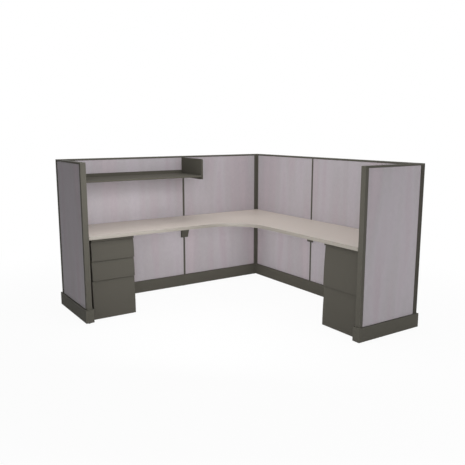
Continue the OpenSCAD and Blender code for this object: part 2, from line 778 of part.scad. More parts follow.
module corner_bracket() {
    color(paint_dark) at_corner() difference() {
        translate([bracket_gap, bracket_gap, 0]) {
            translate([0, 0, under_z - bracket_t]) linear_extrude(bracket_t) polygon([
                [0, 0], [corner_leg, 0], [corner_leg, bracket_t], [bracket_t, corner_leg], [0, corner_leg]]);
            translate([0, 0, under_z - corner_flange]) cube([corner_leg, bracket_t, corner_flange]);
            translate([0, 0, under_z - corner_flange]) cube([bracket_t, corner_leg, corner_flange]);
        }
        screw_bores(corner_plate_screws());
    }
}

// Angle under the work surface, along the left wing
module wing_bracket() {
    difference() {
        translate([2 * half - bracket_gap - wing_angle, wing_angle_in, under_z - wing_angle]) difference() {
            cube([wing_angle, wing_angle_len, wing_angle]);
            translate([-bracket_t, -over, -bracket_t])
                cube([wing_angle, wing_angle_len + 2 * over, wing_angle]);
        }
        screw_bores(wing_screws());
    }
}
module wing_brackets() {
    color(paint_dark) at_corner() {
        wing_bracket();
        swap() wing_bracket();
    }
}

module splice_plate() {
    difference() {
        translate([corner_len - splice_w / 2, splice_in, under_z - bracket_t])
            cube([splice_w, splice_len, bracket_t]);
        screw_bores(concat(splice_screws(-1), splice_screws(1)));
    }
}
module splice_plates() {
    color(paint_dark) at_corner() {
        splice_plate();
        swap() splice_plate();
    }
}

module surface_screws() { color(zinc) at_corner() screws(concat(corner_screws, left_screws, right_screws)); }

// Shelf
module shelf_pan() {
    color(paint) on_back_wall() translate([shelf_x0 + shelf_end_t, 0, 0])
        along_x(shelf_x1 - shelf_x0 - 2 * shelf_end_t) polygon(shelf_section);
}
module shelf_left_end() {
    on_back_wall() translate([shelf_x0, 0, 0]) shelf_end(slot_corner - shelf_side);
}
module shelf_right_end() {
    on_back_wall() translate([shelf_x1 - shelf_end_t, 0, 0]) shelf_end(shelf_end_t + shelf_side - slot_side);
}

// Pedestals
module left_pedestal_case() { at_left_pedestal() pedestal_case(); }
module right_pedestal_case() { at_right_pedestal() pedestal_case(); }
module pedestal_glides() {
    at_left_pedestal() pedestal_glides_set();
    at_right_pedestal() pedestal_glides_set();
}
module case_slides() {
    color(zinc) {
        at_left_pedestal() {
            both_sides(low_z + tray_up + file_slide_low) case_member();
            both_sides(mid_z + tray_up + slide_low) case_member();
            both_sides(high_z + tray_up + slide_low) case_member();
        }
        at_right_pedestal() {
            both_sides(low_z + tray_up + file_slide_low) case_member();
            both_sides(mid_z + tray_up + file_slide_low) case_member();
        }
    }
}

module left_top_tray() { at_left_pedestal() tray(box_tray_h, high_z, slide_low); }
module left_middle_tray() { at_left_pedestal() tray(box_tray_h, mid_z, slide_low); }
module left_bottom_tray() { at_left_pedestal() tray(file_tray_h, low_z, file_slide_low); }
module right_top_tray() { at_right_pedestal() tray(file_tray_h, mid_z, file_slide_low); }
module right_bottom_tray() { at_right_pedestal() tray(file_tray_h, low_z, file_slide_low); }

module left_top_front() { at_left_pedestal() drawer_front(box_h, high_z); }
module left_middle_front() { at_left_pedestal() drawer_front(box_h, mid_z); }
module left_bottom_front() { at_left_pedestal() drawer_front(file_h, low_z); }
module right_top_front() { at_right_pedestal() drawer_front(file_h, mid_z); }
module right_bottom_front() { at_right_pedestal() drawer_front(file_h, low_z); }

module left_top_slides() { at_left_pedestal() slides(high_z, slide_low); }
module left_middle_slides() { at_left_pedestal() slides(mid_z, slide_low); }
module left_bottom_slides() { at_left_pedestal() slides(low_z, file_slide_low); }
module right_top_slides() { at_right_pedestal() slides(mid_z, file_slide_low); }
module right_bottom_slides() { at_right_pedestal() slides(low_z, file_slide_low); }

back_left_frame();
back_right_frame();
side_rear_frame();
side_front_frame();
left_wing_frame();
right_wing_frame();
back_left_boards();
back_right_boards();
side_rear_boards();
side_front_boards();
left_wing_boards();
right_wing_boards();
back_cores();
side_cores();
wing_cores();
back_top_caps();
side_top_caps();
wing_top_caps();
back_base_covers();
side_base_covers();
wing_base_covers();
base_corners();
back_left_post();
back_right_post();
front_right_post();
post_caps();
slotted_uprights();
wing_end_trims();
panel_glides();
corner_work_surface();
left_work_surface();
right_work_surface();
edge_bands();
cantilever_brackets();
corner_bracket();
wing_brackets();
splice_plates();
surface_screws();
shelf_pan();
shelf_left_end();
shelf_right_end();
left_pedestal_case();
right_pedestal_case();
pedestal_glides();
case_slides();
left_top_tray();
left_middle_tray();
left_bottom_tray();
right_top_tray();
right_bottom_tray();
left_top_front();
left_middle_front();
left_bottom_front();
right_top_front();
right_bottom_front();
left_top_slides();
left_middle_slides();
left_bottom_slides();
right_top_slides();
right_bottom_slides();
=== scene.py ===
# Cubicle workstation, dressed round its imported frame
# Metres, +Z up, back wall at +Y, side wall at +X
import json
import math

import bmesh
import bpy
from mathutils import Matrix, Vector

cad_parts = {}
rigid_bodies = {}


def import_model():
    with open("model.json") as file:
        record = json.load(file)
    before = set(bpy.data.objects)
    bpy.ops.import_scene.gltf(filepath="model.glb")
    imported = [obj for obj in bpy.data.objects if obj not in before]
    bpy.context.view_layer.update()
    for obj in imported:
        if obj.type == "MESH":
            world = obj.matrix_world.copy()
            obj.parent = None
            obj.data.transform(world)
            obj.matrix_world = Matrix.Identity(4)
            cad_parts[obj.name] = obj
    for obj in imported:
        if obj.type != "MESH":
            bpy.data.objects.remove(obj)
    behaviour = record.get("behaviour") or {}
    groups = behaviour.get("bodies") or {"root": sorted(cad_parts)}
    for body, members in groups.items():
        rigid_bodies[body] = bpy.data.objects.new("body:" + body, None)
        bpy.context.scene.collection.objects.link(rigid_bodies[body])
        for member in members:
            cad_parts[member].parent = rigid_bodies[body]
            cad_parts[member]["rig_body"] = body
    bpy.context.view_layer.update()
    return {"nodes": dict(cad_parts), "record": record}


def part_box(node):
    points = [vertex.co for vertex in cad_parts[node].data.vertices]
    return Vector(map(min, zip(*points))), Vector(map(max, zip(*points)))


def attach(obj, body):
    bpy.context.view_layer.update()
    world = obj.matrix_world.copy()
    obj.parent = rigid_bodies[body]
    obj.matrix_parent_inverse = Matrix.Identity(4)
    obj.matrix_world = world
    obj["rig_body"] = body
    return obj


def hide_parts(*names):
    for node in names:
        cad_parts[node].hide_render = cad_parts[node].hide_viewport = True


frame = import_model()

cadNodes = frame["nodes"]
scene = bpy.context.scene
scene.view_settings.view_transform = "Standard"
print("frame loaded:", len(cadNodes), "nodes")


# Camera and lamps
cameraSetup = {
    "place": (-2.6235, -4.011, 1.5978),
    "pitchDown": 10.15,     # degrees below level
    "heading": 33.597,      # degrees clockwise from +Y
    "lens": 44.096,         # mm
    "sensor": 36,           # mm, the picture's width
}
lampSetup = {
    # name: place, aim, width, height, watts. backLamp and sideLamp stay below the panels' tops
    "frontLamp": ((1.5, -3.3, 1.1), (0.8, -1.1, 0.7), 1.2, 1.4, 24),
    "cameraLamp": ((-2.4, -3.9, 1.5), (0.3, 0.3, 0.6), 1.6, 1.6, 25),
    "roomLamp": ((-0.8, -0.8, 1.2), (1.0, 1.0, 0.85), 1.1, 1.5, 21),
    "deskLamp": ((-0.5, 0.88, 1.03), (-0.5, 0.90, 0.74), 1.1, 0.12, 0.5),
    "boardLamp": ((-0.5, 0.72, 1.09), (-0.5, 1.065, 1.09), 1.1, 0.08, 0.28),
    "cornerLamp": ((0.5, 0.5, 1.15), (1.05, 1.05, 0.95), 0.3, 0.5, 0.45),
    "cornerKneeLamp": ((0.6, 0.6, 0.5), (1.06, 1.06, 0.45), 0.3, 0.3, 0.16),
    "backKneeLamp": ((0.15, 0.50, 0.60), (0.15, 1.07, 0.38), 1.2, 0.12, 2.5),
    "sideKneeLamp": ((0.50, 0.15, 0.60), (1.07, 0.15, 0.38), 1.2, 0.12, 2.0),
    "shelfLamp": ((-0.5, -0.2, 1.42), (-0.5, 1.0, 0.95), 1.6, 0.3, 2.9),
    "topLamp": ((0.2, 0.2, 3.8), (0.2, 0.21, 0.0), 2.4, 2.4, 54),
    "backLamp": ((0.1, 4.4, 0.65), (0.0, 1.1, 0.6), 2.6, 1.2, 52),
    "sideLamp": ((4.4, 0.1, 0.65), (1.1, 0.0, 0.6), 2.6, 1.2, 52),
}


def addObject(name, data):
    made = bpy.data.objects.new(name, data)
    scene.collection.objects.link(made)
    return made


def makeCamera():
    data = bpy.data.cameras.new("camera")
    data.sensor_width = cameraSetup["sensor"]
    data.lens = cameraSetup["lens"]
    camera = addObject("camera", data)
    camera.location = cameraSetup["place"]
    camera.rotation_euler = (math.radians(90 - cameraSetup["pitchDown"]), 0,
                             -math.radians(cameraSetup["heading"]))
    scene.camera = camera


def makeLamps():
    for name, (place, aim, width, height, watts) in lampSetup.items():
        data = bpy.data.lights.new(name, "AREA")
        data.shape = "RECTANGLE"
        data.size, data.size_y, data.energy = width, height, watts
        lamp = addObject(name, data)
        lamp.location = place
        lamp.rotation_euler = (Vector(aim) - Vector(place)).to_track_quat("-Z", "Y").to_euler()
        lamp.visible_camera = False


makeCamera()
makeLamps()
print("camera and lamps ready")


# Node trees: sums on a Link add Math nodes, and node() adds any other kind
class Link:
    def __init__(self, tree, socket):
        self.tree = tree
        self.socket = socket

    def also(self, output):
        return Link(self.tree, self.socket.node.outputs[output])

    def maths(self, operation, *values):
        return self.tree.node("ShaderNodeMath", {"operation": operation}, dict(enumerate(values)))

    def __add__(self, other):
        return self.maths("ADD", self, other)

    def __radd__(self, other):
        return self.maths("ADD", other, self)

    def __sub__(self, other):
        return self.maths("SUBTRACT", self, other)

    def __rsub__(self, other):
        return self.maths("SUBTRACT", other, self)

    def __mul__(self, other):
        return self.maths("MULTIPLY", self, other)

    def __rmul__(self, other):
        return self.maths("MULTIPLY", other, self)

    def __truediv__(self, other):
        return self.maths("DIVIDE", self, other)

    def __rtruediv__(self, other):
        return self.maths("DIVIDE", other, self)

    def __gt__(self, other):
        return self.maths("GREATER_THAN", self, other)

    def __lt__(self, other):
        return self.maths("LESS_THAN", self, other)

    def __abs__(self):
        return self.maths("ABSOLUTE", self)

    def wave(self):
        return self.maths("SINE", self)

    def around(self, amount):
        # a noise's swing to both sides of its mean
        return (self - 0.5) * amount


class Tree:
    def __init__(self, tree):
        self.tree = tree

    def join(self, value, socket):
        if isinstance(value, Link):
            self.tree.links.new(value.socket, socket)
        else:
            socket.default_value = value

    def node(self, kind, settings=None, values=None, output=0):
        made = self.tree.nodes.new(kind)
        for key, value in (settings or {}).items():
            if key == "stops":
                ramp = made.color_ramp
                while len(ramp.elements) < len(value):
                    ramp.elements.new(1)
                for element, (position, rgb) in zip(ramp.elements, value):
                    element.position, element.color = position, colour(rgb)
            else:
                setattr(made, key, value)
        for key, value in (values or {}).items():
            self.join(value, made.inputs[key])
        return Link(self, made.outputs[output])


class Finish(Tree):
    def __init__(self, name, fixed=None):
        self.material = bpy.data.materials.new(name)
        self.material.use_nodes = True
        super().__init__(self.material.node_tree)
        self.shader = self.tree.nodes["Principled BSDF"]
        for key, value in (fixed or {}).items():
            self.feed(key, value)

    def feed(self, key, value):
        self.join(value, self.shader.inputs[key])

    def place(self):
        return self.node("ShaderNodeTexCoord", output="Object")

    def noise(self, place, scale, detail=2, rough=0.5):
        return self.node("ShaderNodeTexNoise", {}, {
            "Vector": place, "Scale": scale, "Detail": detail, "Roughness": rough})

    def stretched(self, place, scale):
        return self.node("ShaderNodeMapping", {}, {"Vector": place, "Scale": scale})

    def ranged(self, value, low, high):
        # 0 up to low, 1 from high on
        return self.node("ShaderNodeMapRange", {}, {
            "Value": value, "From Min": low, "From Max": high})

    def mixed(self, share, low, high, kind="MIX"):
        # a Mix node takes its colours at sockets 6 and 7, and gives the mix at output 2
        return self.node("ShaderNodeMix", {"data_type": "RGBA", "blend_type": kind}, {
            0: share, 6: low, 7: high}, output=2)

    def shaded(self, tint, shade):
        return self.mixed(1.0, tint, shade, "MULTIPLY")

    def bump(self, height, depth, strength=0.5):
        self.feed("Normal", self.node("ShaderNodeBump", {}, {
            "Height": height, "Distance": depth, "Strength": strength}))


def colour(rgb, factor=1.0):
    return (*[min(1.0, c * factor) for c in rgb], 1)


# Finishes
fabricSetup = {
    # soft upright bands, from pinkish to bluish and neutral grey
    "stops": [
        (0.30, (0.430, 0.374, 0.405)),
        (0.42, (0.396, 0.353, 0.378)),
        (0.50, (0.394, 0.366, 0.386)),
        (0.58, (0.412, 0.379, 0.407)),
        (0.70, (0.398, 0.351, 0.380)),
    ],
    "bandScale": 5.0,                   # bands per metre, about
    "bandStretch": 0.10,
    "threads": 460,                     # per metre, each way
    "slubLength": 36,                   # slubs per metre along a thread
    "slubDepth": 0.24,
    "slubRise": 0.6,                    # of a slub, against the height of a thread
    "mottle": 0.13,
    "mottleScale": 34,
    "mottleStretch": 0.6,
    "hollow": 0.16,                     # painted shade: how much darker it is in the hollows between the threads
    "threadDepth": 0.0006,
    "gloss": 0.2,
    "roughness": 0.92,
    "sheen": 0.10,
    "sheenRoughness": 0.5,
}


def panelFabric():
    s = fabricSetup
    f = Finish("panelFabric", {
        "Specular IOR Level": s["gloss"], "Sheen Weight": s["sheen"],
        "Sheen Roughness": s["sheenRoughness"], "Roughness": s["roughness"]})
    x = f.node("ShaderNodeSeparateXYZ", {}, {0: f.place()})
    along, up = x + x.also(1), x.also(2)        # each panel stands along X or along Y
    threads, slub = s["threads"], s["slubLength"]
    warp = (along * (math.pi * threads)).wave()
    weft = (up * (math.pi * threads)).wave()
    over = warp * weft > 0                      # where the warp lies over the weft
    thread = over * abs(warp) + (1 - over) * abs(weft)

    def flat(a, b):
        return f.node("ShaderNodeCombineXYZ", {}, {0: a, 1: b})

    warpSlub = f.noise(flat(along * threads, up * slub), 1, detail=1)
    weftSlub = f.noise(flat(along * slub, up * threads), 1, detail=1)
    slubs = over * warpSlub + (1 - over) * weftSlub
    bands = f.noise(flat(along, up * s["bandStretch"]), s["bandScale"], rough=0.45)
    mottle = f.noise(flat(along, up * s["mottleStretch"]), s["mottleScale"], detail=4, rough=0.6)
    tint = f.node("ShaderNodeValToRGB", {"stops": s["stops"]}, {0: bands})
    # each part evens out to nothing over the cloth: a thread's mean height is 2 / pi
    shade = 1 + slubs.around(s["slubDepth"]) + mottle.around(s["mottle"])
    # painted shade: darker where the weave dips between the threads, as if shaded there
    shade = shade + (thread - 2 / math.pi) * s["hollow"]
    f.feed("Base Color", f.shaded(tint, shade))
    f.bump(thread + slubs * s["slubRise"], s["threadDepth"], strength=0.8)
    return f.material


paintSetup = {
    "gloss": 0.04,
    "grainScale": 850,      # per metre: the fine texture of a powder coat
    "grainDepth": 0.00006,
    "grainRoughness": 0.12,
    "speck": 0.10,
    "cloudScale": 2.2,
    "cloudStretch": 0.5,
    "cloudRoughness": 0.08,
    "cloud": 0.05,
    "wornScale": 26,
    "wornRange": (0.5, 0.68),   # the part of that noise over which the rubbing sets in
    "wornPale": 1.7,            # how much paler it is where it is rubbed, and how much smoother
    "wornSmooth": 0.15,
    # slot: name, colour, roughness
    "paints": {
        # painted shade: a darker copy of the trim paint, so that the frame parts come out darker,
        # as if shaded
        "frame_paint": ("framePaint", (0.060, 0.056, 0.047), 0.60),
        "trim_paint": ("trimPaint", (0.091, 0.086, 0.072), 0.60),
        "bracket_paint": ("bracketPaint", (0.072, 0.068, 0.057), 0.58),
        "shelf_paint": ("shelfPaint", (0.080, 0.075, 0.062), 0.66),
        # painted shade: the pedestals' paint is a darker copy of the trim paint, so that their
        # open fronts, which catch more of the lamps, come out as dark as the trims
        "pedestal_paint": ("pedestalPaint", (0.080, 0.075, 0.063), 0.58),
        "tray_steel": ("traySteel", (0.130, 0.125, 0.110), 0.42),
    },
    # the same on rounded edges, and how much of it is rubbed
    "wornPaints": {
        "trim_paint": ("trimPaintWorn", (0.105, 0.100, 0.084), 0.54, 0.35),
        "shelf_paint": ("shelfPaintWorn", (0.088, 0.083, 0.069), 0.60, 0.30),
        # painted shade: the pedestals' worn copy is darker than the trim's worn paint too
        "pedestal_paint": ("pedestalPaintWorn", (0.088, 0.083, 0.070), 0.52, 0.40),
        "bracket_paint": ("bracketPaintWorn", (0.080, 0.075, 0.064), 0.54, 0.35),
    },
}


def powderCoat(name, rgb, rough, worn=0.0):
    s = paintSetup
    f = Finish(name, {"Specular IOR Level": s["gloss"]})
    place = f.place()
    grain = f.noise(place, s["grainScale"], rough=0.6)
    cloud = f.noise(f.stretched(place, (1, 1, s["cloudStretch"])), s["cloudScale"], detail=3)
    body = f.shaded(colour(rgb), 1 + cloud.around(s["cloud"]) + grain.around(s["speck"]))
    roughness = rough + grain.around(s["grainRoughness"]) + cloud.around(s["cloudRoughness"])
    if worn:
        rub = f.noise(place, s["wornScale"], detail=4, rough=0.65)
        mask = f.ranged(rub, *s["wornRange"]) * worn
        body = f.mixed(mask, body, colour(rgb, s["wornPale"]))
        roughness = roughness - mask * s["wornSmooth"]
    f.feed("Base Color", body)
    f.feed("Roughness", roughness)
    f.bump(grain, s["grainDepth"], strength=0.7)
    return f.material


laminateSetup = {
    "top": (0.480, 0.428, 0.384),
    "fleck": (0.420, 0.370, 0.322),
    "fleckScale": 420,
    "fleckRange": (0.52, 0.75),     # the part of that noise over which a fleck sets in
    "fleckShare": 0.55,
    "fleckDepth": 0.00003,
    "cloudScale": 5,
    "cloud": 0.06,
    "roughness": 0.42,
    "fleckRoughness": 0.14,
    "underZ": 0.7105,               # below this the sheet under the board shows
    "backer": (0.235, 0.185, 0.135),
    "backerDark": 0.8,
    "fibre": 0.4,
    "fibreScale": 300,
    "fibreStretch": 0.12,
    "underRoughness": 0.3,          # more than on the top
}


def workLaminate():
    s = laminateSetup
    f = Finish("workLaminate")
    place = f.place()
    up = f.node("ShaderNodeSeparateXYZ", {}, {0: place}, output=2)
    fleck = f.noise(place, s["fleckScale"], detail=5, rough=0.7)
    cloud = f.noise(place, s["cloudScale"], detail=4)
    flecks = f.ranged(fleck, *s["fleckRange"])
    top = f.mixed(flecks * s["fleckShare"], colour(s["top"]), colour(s["fleck"]))
    top = f.shaded(top, 1 + cloud.around(s["cloud"]))
    fibres = f.noise(f.stretched(place, (1, s["fibreStretch"], 1)), s["fibreScale"], detail=3)
    back = f.shaded(colour(s["backer"]), s["backerDark"] + fibres * s["fibre"])
    under = up < s["underZ"]
    f.feed("Base Color", f.mixed(under, top, back))
    roughness = s["roughness"] + fleck.around(s["fleckRoughness"])
    f.feed("Roughness", roughness + under * s["underRoughness"])
    f.bump(fleck, s["fleckDepth"])
    return f.material


edgeSetup = {
    # painted shade: the band's colour is a darker copy of the laminate top's, so that its front
    # faces, which face the lamps, come out about as dark as the top
    "colour": (0.285, 0.261, 0.229),
    "shade": 0.97,
    "grain": 0.08,
    "grainScale": 260,
    "grainStretch": 3,
    "grainDepth": 0.00004,
    "grainRoughness": 0.15,
    "cloud": 0.05,
    "cloudScale": 6,
    "roughness": 0.44,
}


def edgePlastic():
    s = edgeSetup
    f = Finish("edgePlastic")
    place = f.place()
    long = f.stretched(place, (1, 1, s["grainStretch"]))
    grain = f.noise(long, s["grainScale"], detail=3, rough=0.6)
    cloud = f.noise(place, s["cloudScale"])
    shade = s["shade"] + grain.around(s["grain"]) + cloud.around(s["cloud"])
    f.feed("Base Color", f.shaded(colour(s["colour"]), shade))
    f.feed("Roughness", s["roughness"] + grain.around(s["grainRoughness"]))
    f.bump(grain, s["grainDepth"])
    return f.material


zincSetup = {
    "cool": (0.47, 0.48, 0.51),
    "warm": (0.53, 0.51, 0.45),
    "filmScale": 14,
    "shade": 0.86,
    "drawn": 0.28,          # lines along the drawn sheet
    "drawnScale": 190,
    "drawnStretch": 9,
    "drawnDepth": 0.00003,
    "drawnRoughness": 0.2,
    "roughness": 0.26,
}


def zincPlate():
    s = zincSetup
    f = Finish("zincPlate", {"Metallic": 1.0})
    place = f.place()
    long = f.stretched(place, (1, 1, s["drawnStretch"]))
    drawn = f.noise(long, s["drawnScale"], detail=4, rough=0.65)
    film = f.noise(place, s["filmScale"], detail=3)
    tint = f.mixed(film, colour(s["cool"]), colour(s["warm"]))
    f.feed("Base Color", f.shaded(tint, s["shade"] + drawn * s["drawn"]))
    f.feed("Roughness", s["roughness"] + drawn * s["drawnRoughness"])
    f.bump(drawn, s["drawnDepth"])
    return f.material


nylonSetup = {
    "colour": (0.016, 0.016, 0.017),
    "dust": (0.05, 0.048, 0.045),
    "dustScale": 60,
    "dustShare": 0.5,
    "mouldScale": 700,
    "mouldDepth": 0.00005,
    "mouldRoughness": 0.22,
    "roughness": 0.42,
}


def glideNylon():
    s = nylonSetup
    f = Finish("glideNylon")
    place = f.place()
    mould = f.noise(place, s["mouldScale"], detail=3)
    dust = f.noise(place, s["dustScale"], detail=4)
    f.feed("Base Color", f.mixed(dust * s["dustShare"], colour(s["colour"]), colour(s["dust"])))
    f.feed("Roughness", s["roughness"] + mould * s["mouldRoughness"])
    f.bump(mould, s["mouldDepth"])
    return f.material


coreSetup = {
    "dark": (0.48, 0.38, 0.14),
    "pale": (0.82, 0.74, 0.42),
    "strandScale": 120,
    "strandStretch": 5,
    "strandDepth": 0.0012,
    "roughness": 0.95,
}


def fibreCore():
    s = coreSetup
    f = Finish("fibreCore", {"Roughness": s["roughness"]})
    place = f.stretched(f.place(), (1, 1, s["strandStretch"]))
    strand = f.noise(place, s["strandScale"], detail=5, rough=0.7)
    f.feed("Base Color", f.mixed(strand, colour(s["dark"]), colour(s["pale"])))
    f.bump(strand, s["strandDepth"], strength=0.8)
    return f.material


finishes = {
    "panel_fabric": panelFabric(),
    "panel_core": fibreCore(),
    "laminate": workLaminate(),
    "edge_band": edgePlastic(),
    "zinc": zincPlate(),
    "glide_nylon": glideNylon(),
    **{slot: powderCoat(*values) for slot, values in paintSetup["paints"].items()},
}
wornPaint = {slot: powderCoat(*values) for slot, values in paintSetup["wornPaints"].items()}
slotOf = {row["node"]: row["material_slot"] for row in frame["record"]["subparts"]}
print("finishes ready:", len(finishes) + len(wornPaint))


# Every node takes its finish first, and pieces with shaped edges then stand for most of them
for name, node in cadNodes.items():
    node.data.materials.clear()
    node.data.materials.append(finishes[slotOf[name]])


roundingSetup = {
    "merge": 0.00001,       # corners nearer than this become one
    "flat": 0.4,            # degrees: faces that bend less become one
    "sharp": 30,            # degrees: flatter edges are part of a curve and stay smooth
    "slideMember": 0.015,   # a slide member is thinner than this
    # node: radius of its edges, segments
    "nodes": {
        "back_top_caps": (0.0006, 2), "side_top_caps": (0.0006, 2), "wing_top_caps": (0.0008, 2),
        "post_caps": (0.0006, 2),
        "back_base_covers": (0.0005, 2), "side_base_covers": (0.0005, 2),
        "wing_base_covers": (0.0005, 2), "base_corners": (0.0006, 2),
        "back_left_post": (0.0009, 2), "back_right_post": (0.0009, 2),
        "front_right_post": (0.0009, 2),
        "wing_end_trims": (0.0015, 3),
        "cantilever_brackets": (0.0009, 2), "corner_bracket": (0.0008, 2),
        "wing_brackets": (0.0008, 2), "splice_plates": (0.0008, 2),
        "shelf_pan": (0.0006, 2), "shelf_left_end": (0.0006, 2), "shelf_right_end": (0.0006, 2),
        "left_pedestal_case": (0.0007, 2), "right_pedestal_case": (0.0007, 2),
        "left_top_tray": (0.0004, 2), "left_middle_tray": (0.0004, 2),
        "left_bottom_tray": (0.0004, 2),
        "right_top_tray": (0.0004, 2), "right_bottom_tray": (0.0004, 2),
        "left_top_front": (0.0005, 2), "left_middle_front": (0.0005, 2),
        "left_bottom_front": (0.0005, 2),
        "right_top_front": (0.0005, 2), "right_bottom_front": (0.0005, 2),
    },
    "boards": (0.0032, 4),  # cloth wrapped over the boards' edges
    "workSurfaces": (0.0003, 1),
}
edgeIndex, zincIndex = 1, 2     # of a rounded piece's materials, after its paint


def camelName(node):
    first, *rest = node.split("_")
    return first + "".join(word.title() for word in rest)


def bodyOf(node):
    return cadNodes[node]["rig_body"]


def mergedMesh(node):
    # the node's loose triangles, joined into whole faces
    bm = bmesh.new()
    bm.from_mesh(cadNodes[node].data)
    bmesh.ops.remove_doubles(bm, verts=bm.verts, dist=roundingSetup["merge"])
    bmesh.ops.dissolve_limit(bm, angle_limit=math.radians(roundingSetup["flat"]),
                             verts=bm.verts, edges=bm.edges)
    return bm


def islandsOf(bm):
    # the separate solids of a mesh, as lists of faces
    left, found = set(bm.faces), []
    while left:
        seed = left.pop()
        island, frontier = [seed], [seed]
        while frontier:
            for side in frontier.pop().edges:
                for face in side.link_faces:
                    if face in left:
                        left.discard(face)
                        island.append(face)
                        frontier.append(face)
        found.append(island)
    return found


def cornersOf(faces):
    points = [vert.co for face in faces for vert in face.verts]
    return (Vector([min(p[i] for p in points) for i in range(3)]),
            Vector([max(p[i] for p in points) for i in range(3)]))


def smoothed(mesh):
    mesh.shade_smooth()
    mesh.set_sharp_from_angle(angle=math.radians(roundingSetup["sharp"]))


def ridesAs(piece, node):
    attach(piece, bodyOf(node))
    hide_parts(node)


def roundedPiece(node, width, segments):
    # a copy of the node whose edges are rounded, and a little rubbed where they are painted
    slot = slotOf[node]
    bm = mergedMesh(node)
    if slot == "tray_steel":            # the slide members on a tray's sides are zinc
        for island in islandsOf(bm):
            low, high = cornersOf(island)
            if min(high - low) < roundingSetup["slideMember"]:
                for face in island:
                    face.material_index = zincIndex
    mesh = bpy.data.meshes.new(camelName(node))
    bm.to_mesh(mesh)
    bm.free()
    smoothed(mesh)
    for material in (finishes[slot], wornPaint.get(slot, finishes[slot]), finishes["zinc"]):
        mesh.materials.append(material)
    piece = addObject(camelName(node), mesh)
    bevel = piece.modifiers.new("edges", "BEVEL")
    bevel.width, bevel.segments = width, segments
    bevel.limit_method, bevel.angle_limit = "ANGLE", math.radians(roundingSetup["sharp"])
    bevel.harden_normals = True
    if slot in wornPaint:
        bevel.material = edgeIndex
    ridesAs(piece, node)


for name, (width, segments) in roundingSetup["nodes"].items():
    roundedPiece(name, width, segments)
for name in cadNodes:
    if name.endswith("_boards"):
        roundedPiece(name, *roundingSetup["boards"])
    if name.endswith("_work_surface"):
        roundedPiece(name, *roundingSetup["workSurfaces"])
print("edges rounded")


# What repeats is made with Geometry Nodes, and each result becomes a plain mesh
class Recipe(Tree):
    def __init__(self, name, **sizes):
        group = bpy.data.node_groups.new(name, "GeometryNodeTree")
        for way in ("INPUT", "OUTPUT"):
            group.interface.new_socket("Geometry", in_out=way, socket_type="NodeSocketGeometry")
        for key, value in sizes.items():
            socket = group.interface.new_socket(key, in_out="INPUT", socket_type="NodeSocketFloat")
            socket.default_value = value
        super().__init__(group)
        self.source = group.nodes.new("NodeGroupInput")

    def given(self, key):
        return Link(self, self.source.outputs[key])

    def upward(self, length):
        return self.node("ShaderNodeCombineXYZ", {}, {"Z": length})

    def joined(self, *parts):
        join = self.tree.nodes.new("GeometryNodeJoinGeometry")
        for part in parts:
            self.tree.links.new(part.socket, join.inputs[0])
        return Link(self, join.outputs[0])

    def painted(self, part, material):
        return self.node("GeometryNodeSetMaterial", {}, {"Geometry": part, "Material": material})

    def raised(self, part, height):
        return self.node("GeometryNodeTransform", {}, {
            "Geometry": part, "Translation": self.upward(height)})

    def scaled(self, form, face, scale):
        return self.node("GeometryNodeScaleElements", {}, {
            "Geometry": form, "Selection": face, "Scale": scale})

    def turned(self, sides, steps):
        # a closed round form: each step is (radius, height), from the bottom up
        (radius, start), (nextRadius, top), *rest = steps
        depth = top - start
        form = self.node("GeometryNodeMeshCylinder", {}, {
            "Vertices": sides, "Radius": radius, "Depth": depth})
        face = form.also("Top")
        form = self.scaled(self.raised(form, start + depth * 0.5), face, nextRadius / radius)
        radius = nextRadius
        for nextRadius, height in rest:
            form = self.node("GeometryNodeExtrudeMesh", {}, {
                "Mesh": form, "Selection": face, "Offset": self.upward(height - top),
                "Offset Scale": 1.0, "Individual": False})
            face = form.also("Top")
            form = self.scaled(form, face, nextRadius / radius)
            radius, top = nextRadius, height
        return form

    def onPoints(self, form):
        # one form on each point, its +Z along the point's own direction
        facing = self.node("GeometryNodeInputNamedAttribute", {"data_type": "FLOAT_VECTOR"}, {
            "Name": "facing"})
        turn = self.node("FunctionNodeAlignRotationToVector", {"axis": "Z"}, {"Vector": facing})
        placed = self.node("GeometryNodeInstanceOnPoints", {}, {
            "Points": self.given("Geometry"), "Instance": form, "Rotation": turn})
        return self.node("GeometryNodeRealizeInstances", {}, {"Geometry": placed})

    def ends(self, form, material=None):
        if material:
            form = self.painted(form, material)
        sink = self.tree.nodes.new("NodeGroupOutput")
        self.tree.links.new(form.socket, sink.inputs[0])
        return self


def profile(radius, height, shares, base=0):
    # steps for turned(): shares of a radius, and of a height above the base
    return [(radius * wide, base + height * high) for wide, high in shares]


def pointMesh(name, places, facing, joined=False):
    mesh = bpy.data.meshes.new(name)
    steps = [(i, i + 1) for i in range(len(places) - 1)] if joined else []
    mesh.from_pydata([tuple(place) for place in places], steps, [])
    directions = mesh.attributes.new("facing", "FLOAT_VECTOR", "POINT")
    for row, direction in zip(directions.data, facing):
        row.vector = direction
    return mesh


def cooked(name, mesh, recipe, **values):
    piece = addObject(name, mesh)
    cook = piece.modifiers.new("recipe", "NODES")
    cook.node_group = recipe.tree
    for item in recipe.tree.interface.items_tree:
        if item.in_out == "INPUT" and item.name in values:
            cook[item.identifier] = values[item.name]
    bpy.context.view_layer.update()
    done = piece.evaluated_get(bpy.context.evaluated_depsgraph_get())
    plain = bpy.data.meshes.new_from_object(done)
    plain.name = name
    piece.modifiers.clear()
    piece.data = plain
    for spare in ("facing", "UVMap", "uv_map"):
        if spare in plain.attributes:
            plain.attributes.remove(plain.attributes[spare])
    smoothed(plain)
    return piece


def islandBoxes(node):
    bm = mergedMesh(node)
    boxes = [cornersOf(island) for island in islandsOf(bm)]
    bm.free()
    return sorted(boxes, key=lambda box: [round(value, 3) for value in box[0]])


